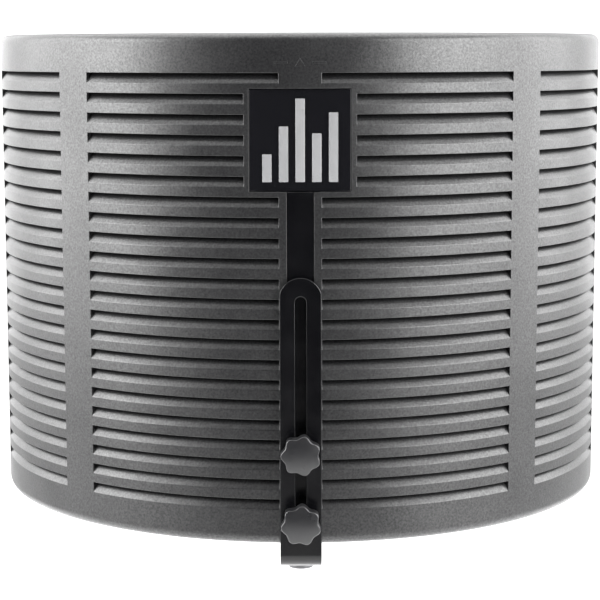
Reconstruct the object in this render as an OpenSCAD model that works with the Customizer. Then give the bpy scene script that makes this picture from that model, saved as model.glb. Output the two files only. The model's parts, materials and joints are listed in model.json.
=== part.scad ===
// Microphone isolation shield: a half-round louvred shell with absorber layers, carried
// on a slotted steel bracket with a stand socket and a sliding microphone post.
// The origin is the mouth of the stand socket, on its axis. +Z is up, -Y is the louvred
// rear, and +Y is the open side where the microphone stands.

/* [Shell] */
// Outer radius of the half-round shell
shell_r = 200; // [196:1:204]
// Height of the shell
shell_h = 300; // [298:1:310]
// Depth of the wall stack, from the louvres to the front frame
stack_t = 50; // [48:1:52]
// Radius of the shell's top and bottom outer edges
edge_r = 5.5; // [5:0.5:7]

/* [Louvres] */
// Number of louvre rows
row_count = 22; // [20:1:22]
// Height from one louvre row to the next
row_pitch = 11.88; // [11.6:0.01:11.9]
// Height of each opening
row_open = 6; // [5.5:0.1:6.2]
// How far the louvre ramps reach inwards
louvre_t = 6.5; // [6:0.1:7]
// Angle from the middle line to a main column's far side
main_far = 39.5; // [38:0.5:40]
// Angles to an outer column's near and far sides
outer_near = 46.75; // [46:0.25:48]
outer_far = 78; // [76:1:80]

/* [Bracket] */
// Width of the steel strip
strip_w = 24.4; // [22:0.1:25]
// Thickness of the steel strip
strip_t = 4; // [3.5:0.5:4]
// Height of the vertical leg's top above the origin
leg_top = 200.5; // [195:0.5:208]
// Radius of the arch at the leg's top
arch_r = 12.7; // [12.2:0.1:14]
// Distance between the two shell knobs
knob_gap = 41.2; // [36:0.1:44]
// Radius to the tips of the knobs' lobes
knob_r = 11.8; // [11:0.1:12]

/* [Microphone post] */
// Where the post stands in front of the stand socket
post_y = 55; // [45:1:65]
// Radius of the post's 5/8 inch thread
post_r = 7.94; // [7.94:0.01:7.96]
// Radius of the stand socket's 3/8 inch thread
socket_r = 4.76; // [4.7:0.01:4.8]

/* [Hidden] */
$fn = 96;

eps = 0.01;
thread_gap = 0.05;          // radial play of a stud in its nut
slide_gap = 0.3;            // between the leg and the shell

// Heights above the origin
arm_z = 28;                 // underside of the bracket's arm
arm_top = arm_z + strip_t;
shell_z = arm_top + 9;
shell_top = shell_z + shell_h;
row_top = shell_top - 23;   // upper edge of the first louvre opening

// Plan positions
axis_y = 100;               // the shell's own axis, in front of the stand socket
rear_y = axis_y - shell_r;
end_t = 4;                  // thickness of the front frame's end posts
end_y = axis_y - end_t;
inner_r = shell_r - stack_t;

// Shell walls
wall_t = 3;
skin_edge = 4;              // thick wall kept above and below the louvre rows
front_t = 2.2;              // wall of a louvre's upright front
// A ramp's upper face, as depths and heights from the opening's lower edge: steep at the
// front and flatter inwards
ramp_line = [[0, 0], [1, 1.7], [2.3, 3.6], [3.8, 5.1], [6.5, 7.2], [8, 8.4]];
under_gap = 2.6;            // from an opening's upper edge up to the next ramp's underside
under_rise = 7.2 / 6.5;     // climb of that underside for each millimetre inwards
centre_half = 12.5;         // half width of the upright rib behind the bracket
badge_half = 32.7;          // half width of the plain field around the badge
badge_rows = [1, 5];        // rows that stop beside the badge
pocket_w = 59.4;
pocket_y = rear_y + 4.5;    // floor of the badge pocket
badge_z = row_top - 38.5;

// Absorber layers, as radii from the shell's axis
wool_out = shell_r - 11;
wool_in = wool_out - 11;
sheet_out = wool_in - 0.5;
sheet_in = sheet_out - 1;
foam_out = sheet_in - 7.5;
foam_in = inner_r + 1;
layer_y = end_y - wall_t - 0.5;
layer_clear = 0.5;          // between a layer and the shell's top and bottom walls
rim_h = 14;                 // height of the front frame's rims
rim_t = 4;
ridge_r = 14;
ridge_count = 11;
ridge_step = 15;

// Rail, studs and knobs
rail_w = 15.6;
rail_t = 2;
rail_y = rear_y + 0.8;      // outer face of the rail
rail_low = shell_z + 7;
rail_high = badge_z - pocket_w / 2;
channel_t = 3;
stud_r = 3;
leg_slot_r = 3.25;
lower_z = shell_z + 16.45;
upper_z = lower_z + knob_gap;
leg_y = rear_y - slide_gap - strip_t;
slot_low = lower_z + leg_slot_r - stud_r - 0.05;    // the lower stud rests on the slot's end
slot_high = leg_top - 14.3;
washer_t = 1.2;
knob_t = 15;
knob_wave = 0.85;           // half of the lobes' depth
knob_lobes = 7;
nut_len = 7;
bend_r = 8;

// Arm, socket and post
arm_far = 112;
arm_slot = [22, 100];       // centres of the arm slot's two round ends
arm_slot_r = 4.25;
neck_r = 6;
socket_depth = 18;
post_stud_r = 4;
flange_t = 4;
flange_z = arm_top + 1;     // the post's flange stands on a 1 mm washer
nut_zone = 9.5;             // thread under the lock nut and its washer
groove_h = 0.6;
post_free = 14;             // thread left free for a microphone clip
lock_nut_h = 6.5;
insert_r = 5.5;
insert_len = 11.5;

// A rotate_extrude's section swept about the shell's axis from angle a to angle b, where
// 0 is the middle of the rear and angles grow towards +X.
module swept(a, b) {
    translate([0, axis_y, 0]) rotate_extrude(angle = b - a, start = 270 + a) children();
}

module both_sides() {
    children();
    mirror([1, 0, 0]) children();
}

// A slot's outline between two points on the first axis
module slot_2d(from, to, r) {
    translate([from, -r]) square([to - from, 2 * r]);
    translate([from, 0]) circle(r);
    translate([to, 0]) circle(r);
}

// A shaft or bore along +Y
module along_y(r, len) {
    rotate([-90, 0, 0]) cylinder(r = r, h = len);
}

// A rod's or ring's section swept about +Z
module ring(out, inner, h) {
    difference() {
        cylinder(r = out, h = h);
        translate([0, 0, -1]) cylinder(r = inner, h = h + 2);
    }
}

// Outline of the shell's section, with its two round outer corners
module shell_outline(from_r) {
    difference() {
        translate([from_r, shell_z]) square([shell_r - from_r, shell_h]);
        for (s = [0, 1]) {
            corner_z = s == 0 ? shell_z + edge_r : shell_top - edge_r;
            difference() {
                translate([shell_r - edge_r, s == 0 ? shell_z - 1 : corner_z])
                    square([edge_r + 1, edge_r + 1]);
                translate([shell_r - edge_r, corner_z]) circle(edge_r);
            }
        }
    }
}

// The free space of neighbouring louvre rows, as a comb that opens inwards
function row_points(k) =
    let (z = row_top - k * row_pitch, deep = ramp_line[len(ramp_line) - 1].x)
    concat([[shell_r - deep, z + under_gap + deep * under_rise],
            [shell_r - front_t, z + under_gap + front_t * under_rise],
            [shell_r - front_t, z],
            [shell_r + 1, z],
            [shell_r + 1, z - row_open]],
           [for (place = ramp_line) [shell_r - place.x, z - row_open + place.y]]);

module row_comb(first, last) {
    deep = louvre_t + 2.5;
    points = [for (k = [first:last]) each row_points(k)];
    polygon(concat(points,
        [[shell_r - deep, points[len(points) - 1][1]], [shell_r - deep, points[0][1]]]));
}

module louvre_rows(side) {
    function span(near, far) = side > 0 ? [near, far] : [-far, -near];
    rib = asin(centre_half / shell_r);
    beside_badge = asin(badge_half / shell_r);
    for (part = [[outer_near, outer_far, 0, row_count - 1],
                 [rib, main_far, 0, badge_rows[0] - 1],
                 [beside_badge, main_far, badge_rows[0], badge_rows[1]],
                 [rib, main_far, badge_rows[1] + 1, row_count - 1]]) {
        a = span(part[0], part[1]);
        swept(a[0], a[1]) row_comb(part[2], part[3]);
    }
}

// Small raised marker that shows which edge is the top: an arrow between two dashes
module top_marker() {
    mark_t = 0.35;
    intersection() {
        swept(-8, 8) translate([shell_r - 1, row_top + 1]) square([1 + mark_t, 12]);
        translate([0, rear_y + 2, row_top + 6]) rotate([90, 0, 0]) linear_extrude(5) {
            polygon([[-3, -2.2], [3, -2.2], [0, 2.6]]);
            for (x = [-11, 11]) translate([x - 4, -0.6]) square([8, 1.2]);
        }
    }
}

// Screw bosses stand in the air gap between the foam and the perforated sheet
boss_r = 3.2;
boss_len = 11;
screw_r = 1.4;
boss_x = (foam_out + sheet_in) / 2 - 0.35;
boss_heights = [shell_z + 30, shell_z + shell_h / 2, shell_top - 30];

module screw_bosses(r, len) {
    both_sides() for (z = boss_heights)
        translate([boss_x, end_y - len, z]) along_y(r, len);
}

// Free space inside the shell's wall, reaching out to a thinner skin beyond the louvres
module shell_cavity() {
    half_h = shell_h / 2;
    thick_r = shell_r - louvre_t;
    row_low = row_top - (row_count - 1) * row_pitch - row_open;
    swept(-90, 90) {
        translate([inner_r - 1, shell_z + wall_t])
            square([thick_r - inner_r + 1, shell_h - 2 * wall_t]);
        translate([thick_r - 1, row_top + skin_edge])
            square([louvre_t - wall_t + 1, shell_top - wall_t - row_top - skin_edge]);
        translate([thick_r - 1, shell_z + wall_t])
            square([louvre_t - wall_t + 1, row_low - skin_edge - shell_z - wall_t]);
    }
    for (side = [-1, 1]) {
        end_a = side * (outer_far + 1.5);
        swept(min(end_a, side * 90), max(end_a, side * 90))
            translate([thick_r - 1, shell_z + wall_t])
                square([louvre_t - wall_t + 1, shell_h - 2 * wall_t]);
    }
}

module outer_shell() color("dimgray") difference() {
    union() {
        top_marker();
        intersection() {
            difference() {
                swept(-90, 90) shell_outline(inner_r + 0.2);
                shell_cavity();
            }
            translate([-shell_r - 1, rear_y - 1, shell_z - 1])
                cube([2 * shell_r + 2, end_y - rear_y + 1, shell_h + 2]);
        }
        // end walls with the front frame's screw bosses
        both_sides() translate([inner_r + 2, end_y - wall_t, shell_z + 1])
            cube([stack_t - 6, wall_t, shell_h - 2]);
        screw_bosses(boss_r, boss_len);
        // thick pad behind the rail
        swept(-4, 4) translate([shell_r - louvre_t, shell_z + 1])
            square([louvre_t - 1, rail_high - shell_z]);
        // fins that hold the rear wool off the louvres
        for (a = [-43.1, 43.1]) swept(a - 0.6, a + 0.6)
            translate([wool_out, shell_z + 1]) square([shell_r - louvre_t - wool_out + 1, shell_h - 2]);
    }
    louvre_rows(1);
    louvre_rows(-1);
    // pocket for the badge
    translate([-pocket_w / 2, rear_y - 1, badge_z - pocket_w / 2])
        cube([pocket_w, pocket_y - rear_y + 1, pocket_w]);
    // channel and holes for the rail
    translate([-rail_w / 2 - 0.1, rear_y - 1, rail_low - 0.1])
        cube([rail_w + 0.2, channel_t + 1, rail_high - rail_low + 1]);
    for (z = [lower_z, upper_z]) translate([0, rear_y, z]) along_y(5.1, 12);
    for (z = rail_screw_heights) translate([0, rear_y, z]) along_y(2.1, 12);
    translate([0, 1, 0]) screw_bosses(screw_r + thread_gap, boss_len);
}

module front_frame() color("black") difference() {
    union() {
        intersection() {
            swept(-90, 90) for (z = [shell_z, shell_top - rim_h])
                translate([inner_r - rim_t, z]) square([rim_t, rim_h]);
            translate([-shell_r, rear_y, shell_z]) cube([2 * shell_r, shell_r - eps, shell_h]);
        }
        // end posts, with the outline of the shell's section
        both_sides() translate([0, axis_y, 0]) rotate([90, 0, 0])
            linear_extrude(end_t) shell_outline(inner_r - rim_t);
    }
    both_sides() for (z = boss_heights) translate([boss_x, end_y - 1, z]) {
        along_y(1.8, end_t + 2);
        translate([0, end_t - 1.2, 0]) along_y(4.2, 4);
    }
}

module frame_screws() color("silver") both_sides() for (z = boss_heights)
    translate([boss_x, end_y, z]) {
        difference() {
            translate([0, end_t - 2.1, 0]) along_y(3.8, 2);
            translate([0, end_t - 1.1, 0]) rotate([-90, 0, 0])
                for (a = [0, 90]) rotate(a) translate([-2, -0.4, 0]) cube([4, 0.8, 2]);
        }
        translate([0, 1.5 - boss_len, 0]) along_y(screw_r, boss_len + end_t - 3.6);
    }

// One absorber layer: a half ring between two radii, cut off behind the end walls
module layer(out, inner, low, high) {
    intersection() {
        swept(-90, 90) translate([inner, low]) square([out - inner, high - low]);
        translate([-shell_r, rear_y - 1, 0]) cube([2 * shell_r, layer_y - rear_y + 1, shell_top]);
    }
}
layer_low = shell_z + wall_t + layer_clear;
layer_high = shell_top - wall_t - layer_clear;

module absorber_foam() color("#3a3b3d") {
    ridge_low = shell_z + rim_h + 1;
    ridge_high = shell_top - rim_h - 1;
    layer(foam_out, foam_in, layer_low, layer_high);
    for (i = [0:ridge_count - 1]) {
        a = (i - (ridge_count - 1) / 2) * ridge_step;
        translate([0, axis_y, 0]) rotate(a) translate([0, -inner_r - 6, ridge_low])
            difference() {
                cylinder(r = ridge_r, h = ridge_high - ridge_low);
                translate([-ridge_r, -2 * ridge_r - foam_in + inner_r + 5.4, -1])
                    cube([2 * ridge_r, 2 * ridge_r, shell_h]);
            }
    }
}

module gap_spacers() color("black") for (a = [-80:32:80])
    swept(a - 1.2, a + 1.2) translate([foam_out + 0.2, layer_low])
        square([sheet_in - foam_out - 0.3, layer_high - layer_low]);

module perforated_sheet() color("silver") difference() {
    layer(sheet_out, sheet_in, layer_low, layer_high);
    intersection() {
        swept(-90, 90) for (z = [layer_low + 10:22:layer_high - 20])
            translate([sheet_in - 1, z]) square([3, 12]);
        translate([0, axis_y, layer_low]) linear_extrude(shell_h)
            for (a = [-76:9.5:76]) rotate(a)
                translate([-6, -shell_r]) square([12, shell_r / 2]);
    }
}

module rear_wool() color("#2a2a2c") layer(wool_out, wool_in, layer_low, layer_high);

module badge_plate() color("black")
    translate([-29.4, pocket_y - 2, badge_z - 29.4]) cube([58.8, 2, 58.8]);

// A plain sound-level sign: five upright bars
module badge_emblem() color("silver") {
    heights = [16, 32, 48, 28, 40];
    for (i = [0:4]) translate([(i - 2) * 9.6 - 2.7, pocket_y - 2.8, badge_z - 24])
        cube([5.4, 0.8, heights[i]]);
}

rail_screw_heights = [(lower_z + upper_z) / 2, upper_z + 40, rail_high - 25];

module mounting_rail() color("#161616") difference() {
    translate([-rail_w / 2, rail_y, rail_low]) cube([rail_w, rail_t, rail_high - rail_low]);
    for (z = [lower_z, upper_z]) translate([0, rail_y - 1, z]) along_y(4.5, rail_t + 2);
    for (z = rail_screw_heights) translate([0, rail_y + 0.5, z]) along_y(1.55, rail_t);
}

module rail_screws() color("silver") for (z = rail_screw_heights) translate([0, 0, z]) {
    head_y = rear_y + louvre_t + 0.05;
    translate([0, rail_y + 0.6, 0]) along_y(1.5, head_y - rail_y - 0.6);
    difference() {
        translate([0, head_y, 0]) along_y(3.4, 2.2);
        translate([0, head_y + 1.2, 0]) rotate([-90, 0, 0])
            for (a = [0, 90]) rotate(a) translate([-1.8, -0.35, 0]) cube([3.6, 0.7, 2]);
    }
}

// Rivet nuts: a flange behind the rail and a barrel through the rail and shell
module rail_nuts() color("silver") for (z = [lower_z, upper_z]) translate([0, 0, z])
    difference() {
        union() {
            translate([0, rail_y + 0.1, 0]) along_y(4.45, nut_len + rail_t);
            translate([0, rail_y + rail_t + 0.05, 0]) along_y(5, nut_len);
        }
        translate([0, rail_y - 1, 0]) along_y(stud_r + thread_gap, nut_len + rail_t + 3);
    }

module support_bracket() color("#1b1b1c") difference() {
    union() {
        // upright leg with a round top
        translate([0, leg_y + strip_t, 0]) rotate([90, 0, 0]) linear_extrude(strip_t) {
            translate([-strip_w / 2, arm_z + bend_r])
                square([strip_w, leg_top - arch_r - arm_z - bend_r]);
            intersection() {
                translate([0, leg_top - arch_r]) circle(arch_r);
                translate([-strip_w / 2, leg_top - 2 * arch_r]) square([strip_w, 2 * arch_r]);
            }
        }
        // bend
        translate([-strip_w / 2, leg_y + bend_r, arm_z + bend_r]) rotate([0, 90, 0])
            rotate_extrude(angle = 90, start = 270) translate([bend_r - strip_t, 0])
                square([strip_t, strip_w]);
        // arm with a round far end
        translate([0, 0, arm_z]) linear_extrude(strip_t) {
            translate([-strip_w / 2, leg_y + bend_r])
                square([strip_w, arm_far - strip_w / 2 - leg_y - bend_r]);
            translate([0, arm_far - strip_w / 2]) circle(strip_w / 2);
        }
    }
    translate([0, leg_y - 1, 0]) rotate([-90, 0, 0]) linear_extrude(strip_t + 2)
        rotate(-90) slot_2d(slot_low, slot_high, leg_slot_r);
    translate([0, 0, arm_z - 1]) linear_extrude(strip_t + 2)
        rotate(90) slot_2d(arm_slot[0], arm_slot[1], arm_slot_r);
    translate([0, 0, arm_z - 1]) cylinder(r = neck_r + 0.1, h = strip_t + 2);
}

module stand_socket() color("silver") difference() {
    union() {
        cylinder(r = 8, h = arm_z - 1);
        translate([0, 0, arm_z - 3]) cylinder(r = 11.5, h = 3);
        cylinder(r = neck_r, h = arm_top + 10);
    }
    translate([0, 0, -1]) cylinder(r = socket_r, h = socket_depth + 1);
}

module socket_washer() color("silver")
    translate([0, 0, arm_top]) ring(10.5, neck_r + 0.2, 1.5);

module socket_nut() color("silver") translate([0, 0, arm_top + 1.5]) difference() {
    cylinder(r = 10.4, h = 6.5, $fn = 6);
    translate([0, 0, -1]) cylinder(r = neck_r + thread_gap, h = 9);
}

// A seven-lobed star handle that stands on the plane z = 0, with a boss and a bore
module star_knob(bore, turn) {
    outline = [for (i = [0:knob_lobes * 16 - 1])
        let (a = i * 360 / (knob_lobes * 16), r = knob_r - knob_wave + knob_wave * cos(knob_lobes * a))
        r * [cos(a + turn), sin(a + turn)]];
    difference() {
        union() {
            cylinder(r = 7.2, h = 6);
            translate([0, 0, 5.5]) linear_extrude(knob_t - 6.5) polygon(outline);
            translate([0, 0, knob_t - 1.2]) cylinder(r1 = knob_r - 2.1, r2 = knob_r - 3.3, h = 1.2);
        }
        translate([0, 0, -1]) cylinder(r = bore, h = knob_t - 2);
    }
}

washer_y = leg_y - 0.1;     // inner face of the knobs' washers
knob_y = washer_y - washer_t;

module knob_washer(z) {
    translate([0, washer_y, z]) rotate([90, 0, 0]) ring(7.5, stud_r + 0.15, washer_t);
}

module knob_stud(z) {
    tip_y = rail_y + rail_t + nut_len - 0.5;
    back_y = knob_y - knob_t + 3.5;
    translate([0, back_y, z]) along_y(stud_r, tip_y - back_y);
}

module shell_knob(z, turn) {
    translate([0, knob_y, z]) rotate([90, 0, 0]) star_knob(stud_r + 0.01, turn);
}

module upper_washer() color("gainsboro") knob_washer(upper_z);
module upper_stud() color("silver") knob_stud(upper_z);
module upper_knob() color("#303133") shell_knob(upper_z, 26.5);
module lower_washer() color("gainsboro") knob_washer(lower_z);
module lower_stud() color("silver") knob_stud(lower_z);
module lower_knob() color("#303133") shell_knob(lower_z, 34.2);

// Post: lower stud through the arm's slot, flange, and a 5/8 inch thread in two stretches
module mic_post() color("silver") translate([0, post_y, 0]) {
    translate([0, 0, arm_z - washer_t - 10.5])
        cylinder(r = post_stud_r, h = flange_z - arm_z + washer_t + 11);
    translate([0, 0, flange_z]) cylinder(r = 12, h = flange_t);
    translate([0, 0, flange_z + flange_t - 1]) {
        cylinder(r = post_r, h = nut_zone + 1);
        cylinder(r = post_r - 0.6, h = nut_zone + groove_h + 2);
    }
    translate([0, 0, flange_z + flange_t + nut_zone + groove_h]) cylinder(r = post_r, h = post_free);
}

module post_base_washer() color("black")
    translate([0, post_y, arm_top]) ring(11.5, post_stud_r + 0.2, 1);

module post_washer() color("gainsboro")
    translate([0, post_y, arm_z - 0.1 - washer_t]) ring(8.5, post_stud_r + 0.15, washer_t);

module post_knob() color("#303133")
    translate([0, post_y, arm_z - 0.1 - washer_t]) rotate([180, 0, 0]) star_knob(insert_r + 0.01, 12);

module post_knob_insert() color("gold")
    translate([0, post_y, arm_z - 0.2 - washer_t - insert_len])
        ring(insert_r, post_stud_r + thread_gap, insert_len);

// Ring nut with a scalloped grip
module post_lock_nut() color("silver")
    translate([0, post_y, flange_z + flange_t + 0.1]) difference() {
        cylinder(r = 13, h = lock_nut_h);
        translate([0, 0, -1]) cylinder(r = post_r + thread_gap, h = lock_nut_h + 2);
        for (i = [0:23]) rotate(i * 15) translate([13.4, 0, -1]) cylinder(r = 1, h = lock_nut_h + 2);
    }

module clip_washer() color("black")
    translate([0, post_y, flange_z + flange_t + 0.2 + lock_nut_h]) ring(11.5, post_r + 0.15, 2.2);

outer_shell();
front_frame();
frame_screws();
absorber_foam();
gap_spacers();
perforated_sheet();
rear_wool();
badge_plate();
badge_emblem();
mounting_rail();
rail_screws();
rail_nuts();
support_bracket();
stand_socket();
socket_washer();
socket_nut();
upper_washer();
upper_stud();
upper_knob();
lower_washer();
lower_stud();
lower_knob();
mic_post();
post_base_washer();
post_washer();
post_knob_insert();
post_knob();
post_lock_nut();
clip_washer();
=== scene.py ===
import json
import math

import bmesh
import bpy
from mathutils import Matrix, Vector, noise


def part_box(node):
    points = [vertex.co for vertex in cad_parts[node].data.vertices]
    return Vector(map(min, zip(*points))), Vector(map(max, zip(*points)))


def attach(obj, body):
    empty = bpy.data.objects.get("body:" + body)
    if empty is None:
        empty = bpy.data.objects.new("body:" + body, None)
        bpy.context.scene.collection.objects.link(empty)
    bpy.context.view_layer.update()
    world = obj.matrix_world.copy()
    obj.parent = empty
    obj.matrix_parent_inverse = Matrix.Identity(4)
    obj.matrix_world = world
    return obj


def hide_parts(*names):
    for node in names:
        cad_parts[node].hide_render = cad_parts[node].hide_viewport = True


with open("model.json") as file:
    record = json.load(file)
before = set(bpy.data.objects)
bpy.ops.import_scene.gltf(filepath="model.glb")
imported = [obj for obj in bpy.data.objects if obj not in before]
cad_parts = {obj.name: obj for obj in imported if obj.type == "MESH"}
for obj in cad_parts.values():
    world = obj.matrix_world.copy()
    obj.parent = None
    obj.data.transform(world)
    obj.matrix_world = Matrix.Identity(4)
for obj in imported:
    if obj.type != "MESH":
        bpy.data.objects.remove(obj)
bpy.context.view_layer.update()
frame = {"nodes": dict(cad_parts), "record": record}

# The looks of a half-round microphone isolation shield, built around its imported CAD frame.
# +X is right, +Y points from the louvred rear to the open side, +Z is up. Lengths are in
# metres unless a comment says millimetres, and angles are in degrees. Angles round the shell
# are counted from the middle of its rear, and are positive towards +X.

MM = 0.001

# ---------------------------------------------------------------- places read from the frame

frame_low, frame_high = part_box("front_frame")
badge_low, badge_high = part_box("badge_plate")
rail_low, rail_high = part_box("mounting_rail")
SHELL_R = frame_high.x                    # outer radius of the half-round shell
AXIS_Y = frame_high.y                     # the shell's own axis stands in its open face
END_Y = AXIS_Y - 4 * MM                   # where the shell meets the front frame's end posts
END_ANGLE = math.degrees(math.acos((AXIS_Y - END_Y) / SHELL_R))
TOP_Z = frame_high.z
BOTTOM_Z = frame_low.z

# the recesses for the badge and the rail, a little wider than what sits in them
POCKET_HALF = badge_high.x + 0.3 * MM
POCKET_TOP = badge_high.z + 0.3 * MM
POCKET_BOTTOM = badge_low.z - 0.3 * MM
POCKET_Y = badge_high.y
CHANNEL_HALF = rail_high.x + 0.1 * MM
CHANNEL_BOTTOM = rail_low.z - 0.1 * MM
CHANNEL_Y = rail_high.y + 0.2 * MM

# ---------------------------------------------------------------- sizes of the shell

ROWS = 22
PITCH = 11.88 * MM
OPENING = 6 * MM
FIRST_ROW_Z = TOP_Z - 23 * MM             # upper edge of the first opening
FRONT_T = 2.2 * MM                        # wall of a louvre's upright front
SKIN_DEPTH = 6.5 * MM                     # how deep the louvres reach
SKIN_R = SHELL_R - SKIN_DEPTH
UNDER_GAP = 2.6 * MM                      # height of the underside above an opening's upper edge
UNDER_RISE = 7.2 / 6.5                    # how steeply the underside climbs inwards
# a ramp's upper face from the inside out: depth, and height above the opening's lower edge,
# both in millimetres
RAMP_LINE = [(6.5, 7.2), (3.8, 5.1), (2.3, 3.6), (1, 1.7), (0, 0)]
ROOF_POINTS = 4                           # points of an opening's section before its ramp
OUTER_FAR = 78.0                          # angles between which the outer columns lie
OUTER_NEAR = 46.75
MAIN_FAR = 39.5                           # where the middle columns end
RIB_HALF = 12.5 * MM                      # half widths of the plain strip round the rail,
BADGE_FIELD_HALF = 32.7 * MM              # and of the one round the badge
BADGE_ROWS = range(1, 6)
EDGE_R = 5.5 * MM                         # rounding of the shell's upper and lower edges
INNER_RIM_R = SHELL_R - 49.8 * MM
WALL_T = 3 * MM
INNER_TOP = TOP_Z - WALL_T
INNER_BOTTOM = BOTTOM_Z + WALL_T
ANGLE_STEP = 2.0


def angle_at(x):
    """Angle on the shell's outer surface of a point x from the middle plane."""
    return math.degrees(math.asin(x / SHELL_R))


def on_arc(angle, radius, z):
    """A point at an angle on a circle about the shell's axis, or on its flat end face."""
    if abs(angle) >= END_ANGLE:
        x = math.copysign(math.sqrt(radius ** 2 - (AXIS_Y - END_Y) ** 2), angle)
        return Vector((x, END_Y, z))
    a = math.radians(angle)
    return Vector((radius * math.sin(a), AXIS_Y - radius * math.cos(a), z))


def spread(start, stop, step):
    """Evenly spaced values from start to stop, no further apart than step."""
    count = max(1, math.ceil(abs(stop - start) / step - 1e-6))
    return [start + (stop - start) * i / count for i in range(count + 1)]


def quarter_turn(step):
    """Sine and cosine of the angles from 0 to 90 degrees."""
    return [(math.sin(math.radians(t)), math.cos(math.radians(t))) for t in spread(0, 90, step)]


def pairs(values):
    return list(zip(values, values[1:]))

# ---------------------------------------------------------------- node materials


def new_material(name, colour, roughness, metallic=0.0, specular=0.5, sheen=0.0):
    """A principled material whose constant values sit on the shader's own sockets."""
    made = bpy.data.materials.new(name)
    made.use_nodes = True
    shader = made.node_tree.nodes["Principled BSDF"]
    shader.inputs["Base Color"].default_value = (*colour, 1)
    shader.inputs["Roughness"].default_value = roughness
    shader.inputs["Metallic"].default_value = metallic
    shader.inputs["Specular IOR Level"].default_value = specular
    shader.inputs["Sheen Weight"].default_value = sheen
    return made


def add_node(made, kind, **inputs):
    """A node of that kind, with its inputs set by name."""
    node = made.node_tree.nodes.new(kind)
    for key, value in inputs.items():
        node.inputs[key].default_value = value
    return node


def object_coordinates(made, stretch=(1, 1, 1)):
    """Texture coordinates that ride with the piece, in metres, with an optional stretch."""
    source = add_node(made, "ShaderNodeTexCoord")
    mapping = add_node(made, "ShaderNodeMapping", Scale=stretch)
    made.node_tree.links.new(source.outputs["Object"], mapping.inputs["Vector"])
    return mapping.outputs["Vector"]


def add_bump(made, height, strength, distance, below=None):
    """Bump from a height output, on top of another bump if one is given."""
    links = made.node_tree.links
    bump = add_node(made, "ShaderNodeBump", Strength=strength, Distance=distance)
    links.new(height, bump.inputs["Height"])
    if below is not None:
        links.new(below.outputs["Normal"], bump.inputs["Normal"])
    links.new(bump.outputs["Normal"], made.node_tree.nodes["Principled BSDF"].inputs["Normal"])
    return bump


def vary(made, factor, socket, low, high):
    """A colour or number that changes over the surface between two values."""
    links = made.node_tree.links
    ramp = add_node(made, "ShaderNodeValToRGB")
    for stop, position, value in zip(ramp.color_ramp.elements, (0.3, 0.7), (low, high)):
        stop.color = (*value, 1) if isinstance(value, tuple) else (value, value, value, 1)
        stop.position = position
    links.new(factor, ramp.inputs["Fac"])
    links.new(ramp.outputs["Color"], made.node_tree.nodes["Principled BSDF"].inputs[socket])


def vary_colour(made, factor, colour, low, high):
    """The colour itself, between two shares of its own brightness."""
    vary(made, factor, "Base Color", tuple(c * low for c in colour),
         tuple(min(1, c * high) for c in colour))


def add_noise(made, coordinates, scale, detail=3.0, roughness=0.6):
    """Noise whose features are about 1 / scale metres across."""
    node = add_node(made, "ShaderNodeTexNoise", Scale=scale, Detail=detail, Roughness=roughness)
    made.node_tree.links.new(coordinates, node.inputs["Vector"])
    return node.outputs["Fac"]


def add_cells(made, coordinates, scale):
    """How far a spot is from the nearest cell's middle. Cells are about 1 / scale across."""
    node = add_node(made, "ShaderNodeTexVoronoi", Scale=scale)
    made.node_tree.links.new(coordinates, node.inputs["Vector"])
    return node.outputs["Distance"]


def grained_plastic(name, colour, roughness, grain=800):
    """Moulded plastic with a fine spark-eroded grain that glints unevenly."""
    made = new_material(name, colour, roughness)
    place = object_coordinates(made)
    fine = add_noise(made, place, grain, detail=4.0, roughness=0.65)
    coarse = add_noise(made, place, grain / 5)
    slow = add_noise(made, place, 22, detail=2.0)
    depth = 0.14 * MM
    vary_colour(made, fine, colour, 0.72, 1.35)
    vary(made, fine, "Specular IOR Level", 0.32, 0.68)
    vary(made, slow, "Roughness", roughness - 0.04, roughness + 0.05)
    base = add_bump(made, coarse, 0.15, depth)
    add_bump(made, fine, 0.55, depth, base)
    return made


def smooth_black(name, colour, roughness, specular=0.5, peel=0.02 * MM):
    """Smooth coated metal or plastic with a faint orange peel and soft handling marks."""
    made = new_material(name, colour, roughness, specular=specular)
    place = object_coordinates(made)
    waves = add_noise(made, place, 420, detail=2.0)
    marks = add_noise(made, place, 60, detail=5.0, roughness=0.7)
    vary(made, marks, "Roughness", roughness - 0.05, roughness + 0.07)
    vary_colour(made, marks, colour, 0.8, 1.2)
    add_bump(made, waves, 0.25, peel)
    return made


def polished_black(name, colour, roughness):
    """Polished black plastic with very faint dust and wipe marks."""
    made = new_material(name, colour, roughness)
    place = object_coordinates(made)
    marks = add_noise(made, place, 90, detail=6.0, roughness=0.75)
    vary(made, marks, "Roughness", 0.1, 0.17)
    add_bump(made, add_noise(made, place, 160, detail=1.0), 0.05, 0.01 * MM)
    return made


def metal(name, colour, roughness, stretch=(1, 1, 1), grain=500, contrast=0.12):
    """Plated, turned or brushed metal, with its grain finest along the stretched direction."""
    made = new_material(name, colour, roughness, metallic=1.0)
    lines = add_noise(made, object_coordinates(made, stretch), grain, detail=4.0)
    vary(made, lines, "Roughness", roughness * 0.75, roughness * 1.3)
    vary_colour(made, lines, colour, 1 - contrast, 1 + contrast / 2)
    add_bump(made, lines, 0.2, 0.01 * MM)
    return made


def open_cell_foam(name, colour):
    """Acoustic foam: small open cells, dusty and without gloss. Each cell's hollow is painted
    darker than its rim, as painted shade.
    """
    made = new_material(name, colour, 0.95, specular=0.15, sheen=0.15)
    place = object_coordinates(made)
    cells = add_cells(made, place, 750)
    pores = add_cells(made, place, 1500)
    # painted shade: the colour darkens towards each cell's middle, where the bump sinks into a
    # hollow
    vary_colour(made, cells, colour, 0.35, 1.6)
    base = add_bump(made, cells, 0.9, 0.5 * MM)
    add_bump(made, pores, 0.5, 0.25 * MM, base)
    return made


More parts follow.
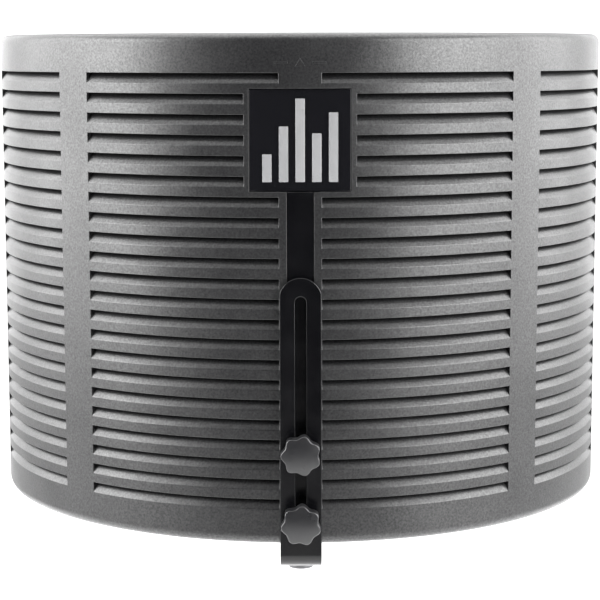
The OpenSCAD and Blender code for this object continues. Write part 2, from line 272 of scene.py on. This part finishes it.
def pressed_fibre(name, colour):
    """Pressed wool: crossed fibres, matt."""
    made = new_material(name, colour, 1.0, specular=0.1, sheen=0.2)
    place = object_coordinates(made, (1, 1, 6))
    fibres = add_noise(made, place, 260, detail=6.0, roughness=0.8)
    vary_colour(made, fibres, colour, 0.4, 1.8)
    add_bump(made, fibres, 1.0, 0.6 * MM)
    return made


def soft_rubber(name, colour, roughness):
    """Moulded rubber with a fine matt speckle."""
    made = new_material(name, colour, roughness, specular=0.35)
    speckle = add_noise(made, object_coordinates(made), 1100)
    vary(made, speckle, "Roughness", 0.68, 0.85)
    add_bump(made, speckle, 0.4, 0.05 * MM)
    return made


FINISHES = {
    "shell_plastic": grained_plastic("shell_plastic", (0.0075, 0.0075, 0.0079), 0.35),
    "frame_plastic": grained_plastic("frame_plastic", (0.012, 0.012, 0.0125), 0.48, grain=1100),
    "foam": open_cell_foam("foam", (0.030, 0.030, 0.032)),
    "wool": pressed_fibre("wool", (0.012, 0.012, 0.012)),
    "sheet_aluminium": metal("sheet_aluminium", (0.80, 0.81, 0.82), 0.32,
                             stretch=(1, 1, 12), grain=300),
    "badge_plastic": polished_black("badge_plastic", (0.003, 0.003, 0.0038), 0.12),
    "emblem_metal": metal("emblem_metal", (0.30, 0.30, 0.305), 0.6, grain=1400, contrast=0.15),
    "black_steel": smooth_black("black_steel", (0.0014, 0.0014, 0.0018), 0.2, specular=0.3),
    "plated_steel": metal("plated_steel", (0.40, 0.40, 0.385), 0.3, grain=700),
    "socket_steel": metal("socket_steel", (0.16, 0.16, 0.165), 0.2,
                          stretch=(1, 1, 20), grain=400, contrast=0.05),
    "nylon": smooth_black("nylon", (0.013, 0.013, 0.013), 0.45),
    "knob_plastic": smooth_black("knob_plastic", (0.010, 0.010, 0.0108), 0.30, peel=0.03 * MM),
    "washer_rubber": soft_rubber("washer_rubber", (0.012, 0.012, 0.012), 0.75),
    "insert_brass": metal("insert_brass", (0.80, 0.58, 0.22), 0.25, stretch=(1, 1, 15)),
}

# ---------------------------------------------------------------- mesh helpers


class Builder:
    """A mesh whose faces share the vertices that they meet at."""

    def __init__(self):
        self.mesh = bmesh.new()
        self.known = {}

    def vertex(self, point):
        """The vertex at a point, the same one for points under 0.1 micrometre apart."""
        key = tuple(round(c * 1e7) for c in point)
        if key not in self.known:
            self.known[key] = self.mesh.verts.new(point)
        return self.known[key]

    def face(self, points):
        """A face without its repeated corners, left out where fewer than three remain."""
        corners = []
        for point in points:
            corner = self.vertex(point)
            if corner not in corners:
                corners.append(corner)
        if len(corners) >= 3:
            self.mesh.faces.new(corners)

    def loft(self, rings, closed=True):
        """Quads between neighbouring rings of the same number of points."""
        for lower, upper in zip(rings, rings[1:]):
            count = len(lower)
            for i in range(count if closed else count - 1):
                j = (i + 1) % count
                self.face((lower[i], lower[j], upper[j], upper[i]))

    def finished(self, name, material, smooth=True):
        """The mesh as an object in the scene. The builder isn't used after this."""
        data = bpy.data.meshes.new(name)
        self.mesh.to_mesh(data)
        self.mesh.free()
        for polygon in data.polygons:
            polygon.use_smooth = smooth
        data.materials.append(material)
        made = bpy.data.objects.new(name, data)
        bpy.context.scene.collection.objects.link(made)
        return made

    def piece(self, name, slot, body, smooth=True):
        """The finished object, riding on a body and finished as a material slot."""
        bmesh.ops.recalc_face_normals(self.mesh, faces=self.mesh.faces)
        made = self.finished(name, FINISHES[slot], smooth)
        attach(made, body)
        return made


def round_edges(piece, width, segments=2, limit=30):
    """Rounds the edges that turn by more than the limit."""
    bevel = piece.modifiers.new("round_edges", "BEVEL")
    bevel.width = width
    bevel.segments = segments
    bevel.limit_method = "ANGLE"
    bevel.angle_limit = math.radians(limit)
    bevel.use_clamp_overlap = False
    bevel.harden_normals = True

# ---------------------------------------------------------------- outer shell


def row_top(row):
    return FIRST_ROW_Z - row * PITCH


def row_is_open(row, angle):
    a = abs(angle)
    if OUTER_NEAR < a < OUTER_FAR:
        return True
    near = angle_at(BADGE_FIELD_HALF if row in BADGE_ROWS else RIB_HALF)
    return near < a < MAIN_FAR


def row_at(z):
    """The row whose opening holds that height, or None."""
    row = math.floor((FIRST_ROW_Z - z) / PITCH)
    inside = 0 <= row < ROWS and row_top(row) - OPENING < z < row_top(row)
    return row if inside else None


def opening_section(row):
    """The outline of one opening's free space, as (radius, height) points.

    It runs from the outer upper edge inwards and comes back out down the ramp."""
    z = row_top(row)
    under = z + UNDER_GAP
    front_r = SHELL_R - FRONT_T
    roof = [(SHELL_R, z), (front_r, z), (front_r, under + FRONT_T * UNDER_RISE),
            (SKIN_R, under + SKIN_DEPTH * UNDER_RISE)]
    ramp = [(SHELL_R - depth * MM, z - OPENING + height * MM) for depth, height in RAMP_LINE]
    return roof + ramp


def outside_place(angle, z):
    """Where a spot on the outside lies: the round wall, the badge's pocket or the channel."""
    if POCKET_BOTTOM < z < POCKET_TOP and abs(angle) < angle_at(POCKET_HALF):
        return "pocket"
    if CHANNEL_BOTTOM < z <= POCKET_BOTTOM and abs(angle) < angle_at(CHANNEL_HALF):
        return "channel"
    return "wall"


def outside_point(angle, z, place):
    point = on_arc(angle, SHELL_R, z)
    if place != "wall":
        point.y = POCKET_Y if place == "pocket" else CHANNEL_Y
    return point


def add_strip(shell, cell, start, stop):
    """One cell's share of the surface that the line between two section points sweeps."""
    a, b = cell
    shell.face((on_arc(a, *start), on_arc(b, *start), on_arc(b, *stop), on_arc(a, *stop)))


def add_outside(shell, cells, middles, levels):
    """The outer surface, with walls where the pocket and the channel step inwards."""
    for upper, lower in pairs(levels):
        z = (upper + lower) / 2
        row = row_at(z)
        for i, (a, b) in enumerate(cells):
            if row is not None and row_is_open(row, middles[i]):
                continue
            place = outside_place(middles[i], z)
            shell.face((outside_point(a, upper, place), outside_point(b, upper, place),
                        outside_point(b, lower, place), outside_point(a, lower, place)))
            if i + 1 < len(cells):
                beside = outside_place(middles[i + 1], z)
                if beside != place:
                    shell.face((outside_point(b, upper, place), outside_point(b, upper, beside),
                                outside_point(b, lower, beside), outside_point(b, lower, place)))
    nearby = 0.1 * MM
    for edge in levels[1:-1]:
        for i, (a, b) in enumerate(cells):
            over = outside_place(middles[i], edge + nearby)
            under = outside_place(middles[i], edge - nearby)
            if over != under:
                shell.face((outside_point(a, edge, over), outside_point(b, edge, over),
                            outside_point(b, edge, under), outside_point(a, edge, under)))


def add_louvres(shell, cells, middles):
    """The louvres' fronts, undersides and ramps, with side walls where a column ends."""
    for row in range(ROWS):
        section = opening_section(row)
        swept = pairs(section[:ROOF_POINTS]) + pairs(section[ROOF_POINTS:])
        for i, cell in enumerate(cells):
            is_open = row_is_open(row, middles[i])
            if is_open:
                for start, stop in swept:
                    add_strip(shell, cell, start, stop)
            if i + 1 < len(cells) and is_open != row_is_open(row, middles[i + 1]):
                shell.face([on_arc(cell[1], *corner) for corner in section])


def add_inside(shell, cells, middles):
    """The inner surface between the openings. Returns the heights where it is divided."""
    levels = [INNER_TOP]
    for row in range(ROWS):
        levels += [height for _, height in opening_section(row)[ROOF_POINTS - 1:ROOF_POINTS + 1]]
    levels.append(INNER_BOTTOM)
    for k, (upper, lower) in enumerate(pairs(levels)):
        for i, cell in enumerate(cells):
            if k % 2 == 1 and row_is_open(k // 2, middles[i]):
                continue
            add_strip(shell, cell, (SKIN_R, upper), (SKIN_R, lower))
    return levels


def add_edges(shell, cells):
    """The rounded upper and lower edges with the walls behind them. Returns their sections."""
    turn = quarter_turn(11.25)
    centre_r = SHELL_R - EDGE_R
    top = [(centre_r + EDGE_R * c, TOP_Z - EDGE_R + EDGE_R * s) for s, c in turn]
    top += [(INNER_RIM_R, TOP_Z), (INNER_RIM_R, INNER_TOP), (SKIN_R, INNER_TOP)]
    bottom = [(centre_r + EDGE_R * c, BOTTOM_Z + EDGE_R - EDGE_R * s) for s, c in turn]
    bottom += [(INNER_RIM_R, BOTTOM_Z), (INNER_RIM_R, INNER_BOTTOM), (SKIN_R, INNER_BOTTOM)]
    for line in (top, bottom):
        for start, stop in pairs(line):
            for cell in cells:
                add_strip(shell, cell, start, stop)
    return top, bottom


def build_shell():
    """The louvred half-round wall, with an edge wherever an opening or a recess begins."""
    breaks = [0, angle_at(CHANNEL_HALF), angle_at(RIB_HALF), angle_at(POCKET_HALF),
              angle_at(BADGE_FIELD_HALF), MAIN_FAR, OUTER_NEAR, OUTER_FAR, END_ANGLE]
    half = [a for start, stop in pairs(breaks) for a in spread(start, stop, ANGLE_STEP)[1:]]
    angles = [-a for a in reversed(half)] + [0] + half
    cells = pairs(angles)
    middles = [(a + b) / 2 for a, b in cells]
    levels = {TOP_Z - EDGE_R, BOTTOM_Z + EDGE_R, POCKET_TOP, POCKET_BOTTOM, CHANNEL_BOTTOM}
    for row in range(ROWS):
        levels |= {row_top(row), row_top(row) - OPENING}
    levels = sorted(levels, reverse=True)

    shell = Builder()
    add_outside(shell, cells, middles, levels)
    add_louvres(shell, cells, middles)
    inner_levels = add_inside(shell, cells, middles)
    top, bottom = add_edges(shell, cells)

    # end faces against the front frame
    wall = [(SHELL_R, z) for z in levels[1:-1]]
    back = [(SKIN_R, z) for z in reversed(inner_levels[1:-1])]
    outline = list(reversed(top)) + wall + bottom + back
    for angle in (angles[0], angles[-1]):
        shell.face([on_arc(angle, *corner) for corner in outline])

    made = shell.piece("louvred_shell", "shell_plastic", "shield")
    round_edges(made, 0.3 * MM, limit=20)
    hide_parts("outer_shell")


def build_top_marks():
    """A raised arrow between two dashes that shows which edge is the top."""
    height = FIRST_ROW_Z + 6 * MM
    # outlines in millimetres
    dash = [(-4, -0.6), (4, -0.6), (4, 0.6), (-4, 0.6)]
    arrow = [(-3, -2.2), (3, -2.2), (0, 2.6)]
    outlines = [arrow] + [[(x + shift, z) for x, z in dash] for shift in (-11, 11)]
    marks = Builder()
    for outline in outlines:
        rings = [[on_arc(angle_at(x * MM), radius, height + z * MM) for x, z in outline]
                 for radius in (SHELL_R - 0.4 * MM, SHELL_R + 0.35 * MM)]
        marks.loft(rings)
        for ring in rings:
            marks.face(ring)
    made = marks.piece("top_marks", "shell_plastic", "shield", smooth=False)
    round_edges(made, 0.15 * MM)

# ---------------------------------------------------------------- absorbers


def uneven(angle, z, per_degree, per_metre, layer):
    """A smooth random amount from 0 to 1. The layer picks the pattern."""
    return abs(noise.noise(Vector((angle * per_degree, z * per_metre, layer))))


def close_layer(layer, face, back_r, angles, low_z, high_z):
    """A curved layer from its shaped face: adds a plain back, the ends and the sides."""
    layer.loft(face, closed=False)
    back = [[on_arc(a, back_r, z) for a in angles] for z in (low_z, high_z)]
    layer.loft(back, closed=False)
    layer.loft([face[0], back[0]], closed=False)
    layer.loft([face[-1], back[1]], closed=False)
    for side in (0, -1):
        layer.face([line[side] for line in face] + [back[1][side], back[0][side]])


def build_foam():
    """The ridged foam: eleven upright rounded ridges with domed ends, slightly uneven."""
    low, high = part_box("absorber_foam")
    base_r = SHELL_R - 49 * MM
    ridge_r, ridge_centre = 14 * MM, SHELL_R - 44 * MM
    ridge_low, ridge_high = frame_low.z + 15 * MM, frame_high.z - 15 * MM
    ridge_spacing, last_ridge = 15, 75    # angles
    foot = 0.8 * MM                       # under this height a ridge fades into the base
    dome = 9 * MM
    overrun = 1 * MM
    end_angle, angle_step = 87.0, 0.75
    dome_step, long_step = 1.2 * MM, 9 * MM
    swell = 0.35 * MM

    def ridge_height(angle):
        """How far the ridges stand in from the base surface at an angle."""
        nearest = round(angle / ridge_spacing) * ridge_spacing
        if abs(nearest) > last_ridge:
            return 0.0
        off = math.radians(angle - nearest) * base_r
        inside = ridge_r ** 2 - off ** 2
        if inside <= 0:
            return 0.0
        peak = base_r - (ridge_centre - math.sqrt(inside))
        return max(0.0, peak) if peak > foot else max(0.0, peak) ** 2 / foot

    def end_share(z):
        """Share of the full ridge at a height: one along most of it, rounded off at its ends."""
        room = min(z - ridge_low, ridge_high - z)
        if room <= 0:
            return 0.0
        return math.sqrt(1 - (1 - min(1, room / dome)) ** 2)

    def face_radius(angle, z):
        rough = swell * uneven(angle, z, per_degree=0.35, per_metre=60, layer=3.7)
        return base_r - ridge_height(angle) * end_share(z) + rough

    angles = spread(-end_angle, end_angle, angle_step)
    heights = ([low.z] + spread(ridge_low - overrun, ridge_low + dome, dome_step)
               + spread(ridge_low + dome, ridge_high - dome, long_step)[1:-1]
               + spread(ridge_high - dome, ridge_high + overrun, dome_step) + [high.z])
    face = [[on_arc(a, face_radius(a, z), z) for a in angles] for z in heights]
    foam = Builder()
    close_layer(foam, face, high.x, angles, low.z, high.z)
    made = foam.piece("ridged_foam", "foam", "shield")
    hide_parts("absorber_foam")


def build_wool():
    """The pressed fibre layer behind the louvres, with a gently uneven face."""
    low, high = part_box("rear_wool")
    outer_r, inner_r = SHELL_R - 11 * MM, SHELL_R - 22 * MM
    end_angle, angle_step, height_step = 87.5, 1.5, 6 * MM
    dip = 0.8 * MM

    def face_radius(angle, z):
        return outer_r - dip * uneven(angle, z, per_degree=0.5, per_metre=90, layer=1.3)

    angles = spread(-end_angle, end_angle, angle_step)
    heights = spread(low.z, high.z, height_step)
    face = [[on_arc(a, face_radius(a, z), z) for a in angles] for z in heights]
    wool = Builder()
    close_layer(wool, face, inner_r, angles, low.z, high.z)
    made = wool.piece("fibre_layer", "wool", "shield")
    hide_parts("rear_wool")

# ---------------------------------------------------------------- knobs and threads


LOBES = 7
LOBE_POINTS = 24
KNOB_R = 11.8 * MM
KNOB_WAVE = 0.85 * MM                     # the outline swings by this much about KNOB_BODY_R
KNOB_BODY_R = KNOB_R - KNOB_WAVE
KNOB_T = 15 * MM
KNOB_RIM = 0.8 * MM                       # rounding of the knob's edges
KNOB_CROWN = 1.3 * MM                     # how much lower the face is at its edge
KNOB_SHOULDER = 5.5 * MM                  # height where the lobes begin, above the knob's foot
# the round boss under the lobes: radius and height, in millimetres
KNOB_BOSS = [(5.2, 0.3), (6.9, 0), (7.2, 0.3), (7.2, 4.6), (7.6, 5.2)]
FACE_SHARES = (0.97, 0.9, 0.8, 0.65, 0.5, 0.3, 0.12)


def build_star_knob(name, node, body, to_world, turn):
    """A seven-lobed knob with a crowned face, a rounded rim and a round boss behind it."""

    def outline(a):
        return KNOB_BODY_R + KNOB_WAVE * math.cos(LOBES * a)

    def face_height(radius):
        """The crowned face: one smooth bowl shape, whatever the outline does."""
        return KNOB_T - KNOB_CROWN * (radius / KNOB_BODY_R) ** 2

    def ring_at(place):
        """A ring of points whose radius and height place gives for each direction."""
        ring = []
        for i in range(LOBES * LOBE_POINTS):
            a = 2 * math.pi * i / (LOBES * LOBE_POINTS)
            radius, height = place(a)
            ring.append(to_world(radius * math.cos(a + turn), radius * math.sin(a + turn), height))
        return ring

    rings = [ring_at(lambda a: (r * MM, h * MM)) for r, h in KNOB_BOSS]
    for s, c in quarter_turn(22.5):
        rings.append(ring_at(lambda a: (outline(a) - KNOB_RIM * (1 - s),
                                        KNOB_SHOULDER + KNOB_RIM * (1 - c))))
    for s, c in quarter_turn(15):
        rings.append(ring_at(lambda a: (outline(a) - KNOB_RIM * (1 - c),
                                        face_height(outline(a) - KNOB_RIM)
                                        - KNOB_RIM * (1 - s))))
    for share in FACE_SHARES:
        rings.append(ring_at(lambda a: (share * (outline(a) - KNOB_RIM),
                                        face_height(share * (outline(a) - KNOB_RIM)))))

    knob = Builder()
    knob.loft(rings)
    knob.face(rings[0])
    tip = to_world(0, 0, KNOB_T)
    last = rings[-1]
    for i in range(len(last)):
        knob.face((last[i], last[(i + 1) % len(last)], tip))
    made = knob.piece(name, "knob_plastic", body)
    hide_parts(node)


def build_shell_knob(which, turn):
    """A clamp knob on the rail, "upper" or "lower", turned by an angle about its stud."""
    stud_low, stud_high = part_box(which + "_stud")
    middle = (stud_low + stud_high) / 2
    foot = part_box(which + "_knob")[1].y

    def to_world(x, y, height):
        return Vector((middle.x + x, foot - height, middle.z + y))

    build_star_knob(which + "_star_knob", which + "_knob", which + "_handle", to_world,
                    math.radians(turn))


def build_post_knob(turn):
    """The clamp knob under the arm, which hangs from the microphone post."""
    insert_low, insert_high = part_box("post_knob_insert")
    middle = (insert_low + insert_high) / 2
    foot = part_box("post_knob")[1].z

    def to_world(x, y, height):
        return Vector((middle.x + x, middle.y - y, foot - height))

    build_star_knob("post_star_knob", "post_knob", "post_handle", to_world, math.radians(turn))


ROUND_POINTS = 64
LOWER_PITCH = 1.25 * MM                   # M8
UPPER_PITCH = 25.4 / 27 * MM              # 5/8 inch, 27 to the inch
THREAD_DEPTH = 0.55                       # share of the pitch
THREAD_FLAT = 0.1                         # share of a flank that is flat at its crest and root
THREAD_START = 0.35                       # share of the depth that is left at a thread's ends


def round_directions():
    return [2 * math.pi * i / ROUND_POINTS for i in range(ROUND_POINTS)]


def plain_ring(middle, radius, z):
    return [Vector((middle.x + radius * math.cos(a), middle.y + radius * math.sin(a), z))
            for a in round_directions()]


def thread_rings(middle, low_z, high_z, radius, pitch):
    """Rings of a right-handed thread about +Z, fading out at both ends."""
    depth = THREAD_DEPTH * pitch
    end_drop = 0.3 * MM
    rings = []
    for z in spread(low_z, high_z, pitch / 8):
        fade = min(1, (z - low_z) / pitch, (high_z - z) / pitch)
        ring = []
        for i, a in enumerate(round_directions()):
            turns = (z - low_z) / pitch - i / ROUND_POINTS
            saw = abs(2 * (turns - math.floor(turns)) - 1)
            crest = min(1, max(0, (saw - THREAD_FLAT) / (1 - 2 * THREAD_FLAT)))
            share = THREAD_START + (1 - THREAD_START) * fade
            r = radius - depth * (1 - crest) * share - end_drop * (1 - fade)
            ring.append(Vector((middle.x + r * math.cos(a), middle.y + r * math.sin(a), z)))
        rings.append(ring)
    return rings


def build_post():
    """The microphone post: M8 lower stud, round flange and a 5/8 inch thread."""
    low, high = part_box("mic_post")
    middle = (low + high) / 2
    arm_t, washer_t, flange_t = 4 * MM, 1 * MM, 4 * MM
    arm_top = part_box("support_bracket")[0].z + arm_t
    arm_low = arm_top - arm_t
    flange_low = arm_top + washer_t
    flange_high = flange_low + flange_t
    flange_r, post_r, stud_r = high.x - middle.x, 7.94 * MM, 4 * MM
    soft = 0.5 * MM                       # rounding of the flange's edges
    rings = thread_rings(middle, low.z, arm_low - 0.5 * MM, stud_r, LOWER_PITCH)
    rings += [plain_ring(middle, stud_r, arm_low), plain_ring(middle, stud_r, flange_low)]
    for s, c in quarter_turn(22.5):
        rings.append(plain_ring(middle, flange_r - soft * (1 - s), flange_low + soft * (1 - c)))
    for s, c in quarter_turn(22.5):
        rings.append(plain_ring(middle, flange_r - soft * (1 - c), flange_high - soft * (1 - s)))
    rings.append(plain_ring(middle, post_r - 0.6 * MM, flange_high))
    rings += thread_rings(middle, flange_high + 0.3 * MM, high.z - 0.8 * MM, post_r, UPPER_PITCH)
    rings.append(plain_ring(middle, post_r - 1.1 * MM, high.z))
    post = Builder()
    post.loft(rings)
    post.face(rings[0])
    post.face(rings[-1])
    made = post.piece("threaded_post", "socket_steel", "post")
    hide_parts("mic_post")

# ---------------------------------------------------------------- nodes that keep their CAD shape


# how far each node's edges are rounded, in millimetres
CAD_EDGES = {
    "front_frame": 0.15, "frame_screws": 0.15, "badge_plate": 0.35, "badge_emblem": 0.25,
    "mounting_rail": 0.3, "rail_screws": 0.15, "rail_nuts": 0.15, "support_bracket": 0.55,
    "stand_socket": 0.35, "socket_washer": 0.2, "socket_nut": 0.4, "upper_washer": 0.2,
    "lower_washer": 0.2, "upper_stud": 0.3, "lower_stud": 0.3, "post_base_washer": 0.2,
    "post_washer": 0.2, "post_knob_insert": 0.2, "post_lock_nut": 0.3, "clip_washer": 0.3,
    "perforated_sheet": 0.0, "gap_spacers": 0.0,
}
WELD_DISTANCE = 0.001 * MM
FLAT_TURN = 0.02                          # triangles that turn by less make one flat face
CAD_EDGE_TURN = 28                        # edges that turn by more are rounded


def finish_cad_nodes():
    """Gives each CAD node that stays its material, welded corners and rounded edges."""
    slots = {part["node"]: part["material_slot"] for part in frame["record"]["subparts"]}
    for node, width in CAD_EDGES.items():
        piece = frame["nodes"][node]
        piece.data.materials.clear()
        piece.data.materials.append(FINISHES[slots[node]])
        for polygon in piece.data.polygons:
            polygon.use_smooth = True
        weld = piece.modifiers.new("weld", "WELD")
        weld.merge_threshold = WELD_DISTANCE
        flats = piece.modifiers.new("join_flats", "DECIMATE")
        flats.decimate_type = "DISSOLVE"
        flats.angle_limit = math.radians(FLAT_TURN)
        if width:
            round_edges(piece, width * MM, segments=3, limit=CAD_EDGE_TURN)
        normals = piece.modifiers.new("flat_shading", "WEIGHTED_NORMAL")
        normals.keep_sharp = True

# ---------------------------------------------------------------- camera, light and floor


CAMERA_PLACE = (-0.3 * MM, AXIS_Y - 1.2599, FIRST_ROW_Z + 12.3 * MM)
CAMERA_DOWN = 7.689                       # how far below the horizontal it looks
CAMERA_ROLL = -0.135
FOCAL_LENGTH = 110.55                     # millimetres on a 36 mm wide sensor

WORLD_STRENGTH = 1.1
STUDIO_MIDDLE = (0, 0, 0.2)
# name, azimuth from the rear towards +X, height, distance, width, height, radiance
LIGHTS = [
    ("right_key", 57, 0.7, 1.8, 1.35, 1.58, 11.5),
    ("left_key", -69, 0.7, 1.8, 1.0, 1.58, 12.0),
    ("right_side", 98, 0.8, 1.8, 1.4, 1.8, 7.3),
    ("left_side", -101, 0.8, 1.8, 1.3, 1.8, 7.0),
    ("right_back", 138, 0.6, 1.8, 1.2, 1.4, 1.6),
    ("left_back", -139, 0.6, 1.8, 1.2, 1.4, 1.9),
]
TOP_PLACE = (0, 0.4, 2.0)
TOP_SIZE = (3.0, 2.6)
TOP_RADIANCE = 4.5

FLOOR_Z = -0.7
FLOOR_REACH = 5.0                         # half the floor's width and depth
FLOOR_RISE = 4.0                          # height of the wall that it bends up into
FLOOR_BEND = 1.5
SCREEN_R = 2.3                            # the dark screen: radius, heights and end angles
SCREEN_HEIGHTS = (-0.5, 2.7)
SCREEN_ANGLES = (-52, 34)


def build_camera():
    """The photograph's viewpoint: square on to the rear, from a little above the middle."""
    data = bpy.data.cameras.new("camera")
    data.sensor_width = 36
    data.lens = FOCAL_LENGTH
    data.clip_end = 50
    camera = bpy.data.objects.new("camera", data)
    bpy.context.scene.collection.objects.link(camera)
    camera.location = CAMERA_PLACE
    pitch = Matrix.Rotation(math.radians(90 - CAMERA_DOWN), 4, "X")
    roll = Matrix.Rotation(math.radians(CAMERA_ROLL), 4, "Z")
    camera.rotation_euler = (pitch @ roll).to_euler()
    bpy.context.scene.camera = camera


def area_light(name, place, width, height, radiance):
    """A soft box, unseen by the camera, that faces the object."""
    data = bpy.data.lights.new(name, "AREA")
    data.shape = "RECTANGLE"
    data.size, data.size_y = width, height
    data.energy = radiance * math.pi * width * height
    light = bpy.data.objects.new(name, data)
    bpy.context.scene.collection.objects.link(light)
    light.location = place
    towards = Vector(STUDIO_MIDDLE) - Vector(place)
    light.rotation_euler = towards.to_track_quat("-Z", "Y").to_euler()
    light.visible_camera = False


def stage_piece(name, rings, colour):
    """A smooth matt sheet that belongs to the studio and not to the object."""
    sheet = Builder()
    sheet.loft(rings, closed=False)
    made = sheet.finished(name, new_material(name, colour, 0.9, specular=0.1))
    return made


def build_studio():
    """The lights, the white background, the floor and a dark screen round the camera."""
    scene = bpy.context.scene
    scene.view_settings.view_transform = "Standard"
    scene.world = bpy.data.worlds.new("studio")
    scene.world.use_nodes = True
    background = scene.world.node_tree.nodes["Background"]
    background.inputs["Color"].default_value = (1, 1, 1, 1)
    background.inputs["Strength"].default_value = WORLD_STRENGTH
    for name, azimuth, height, distance, width, tall, radiance in LIGHTS:
        a = math.radians(azimuth)
        place = (distance * math.sin(a), -distance * math.cos(a), height)
        area_light(name, place, width, tall, radiance)
    area_light("top_softbox", TOP_PLACE, *TOP_SIZE, TOP_RADIANCE)

    bend_y = FLOOR_REACH - FLOOR_BEND
    line = [(-FLOOR_REACH, 0)]
    line += [(bend_y + FLOOR_BEND * s, FLOOR_BEND * (1 - c)) for s, c in quarter_turn(9)]
    line.append((FLOOR_REACH, FLOOR_RISE))
    stage_piece("floor", [[Vector((x, y, FLOOR_Z + z)) for y, z in line]
                          for x in (-FLOOR_REACH, FLOOR_REACH)], (0.93, 0.93, 0.93))

    # keeps the middle of the shell from mirroring anything bright
    directions = [math.radians(a) for a in spread(*SCREEN_ANGLES, 6)]
    rings = [[Vector((SCREEN_R * math.sin(a), -SCREEN_R * math.cos(a), z)) for a in directions]
             for z in SCREEN_HEIGHTS]
    screen = stage_piece("dark_screen", rings, (0.02, 0.02, 0.022))
    screen.visible_camera = False


build_camera()
build_studio()
finish_cad_nodes()
build_shell()
build_top_marks()
build_foam()
build_wool()
build_shell_knob("upper", 26.5)
build_shell_knob("lower", 34.2)
build_post_knob(12)
build_post()
